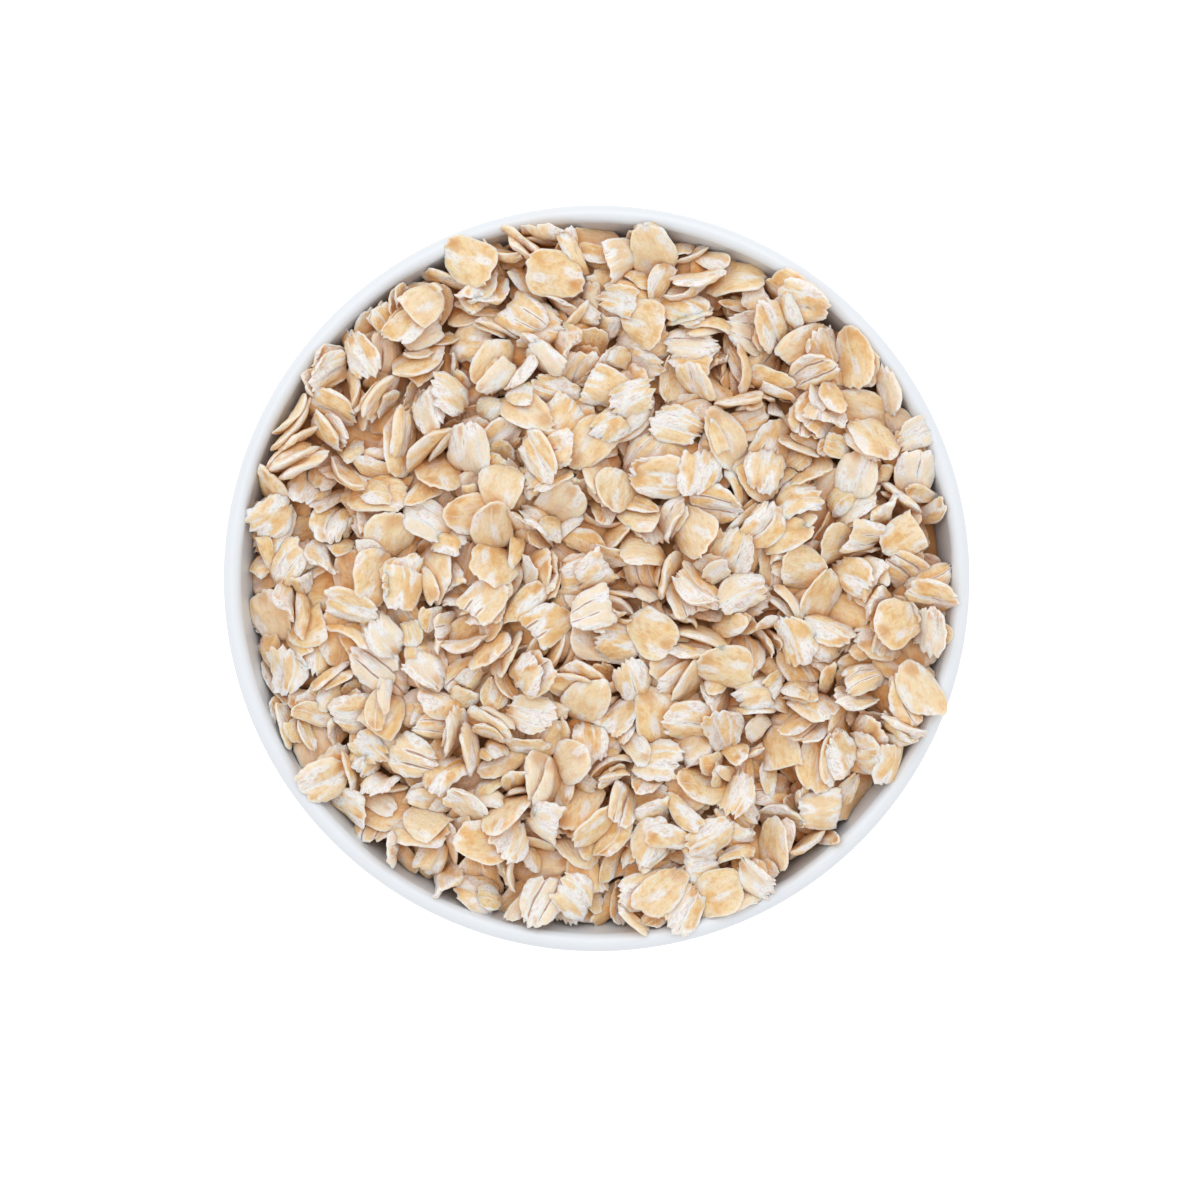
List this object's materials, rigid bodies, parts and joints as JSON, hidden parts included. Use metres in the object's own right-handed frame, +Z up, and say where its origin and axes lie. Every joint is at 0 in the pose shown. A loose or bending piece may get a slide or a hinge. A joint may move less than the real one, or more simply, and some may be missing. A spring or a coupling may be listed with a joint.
{
  "type": "bowl of rolled oats",
  "caption": "Round white porcelain bowl with a leaning wall and a foot ring, heaped to the brim with dry rolled oats that mound a little above the rim.",
  "frame": {"origin": "centre of the foot ring's underside, on the surface the bowl stands on", "axes": "+Z up along the bowl's axis; +X and +Y lie in the plane of the foot, +X towards the side that is at the right when seen from above with +Y at the top"},
  "size_m": [0.11, 0.11, 0.0606],
  "materials": {
    "porcelain": "glossy white glaze, plain",
    "oats": "matte dry oat flakes, cream to golden with floury white breaks"
  },
  "bodies": {
    "root": {"bowl": "porcelain", "oats": "oats"}
  },
  "joints": []
}
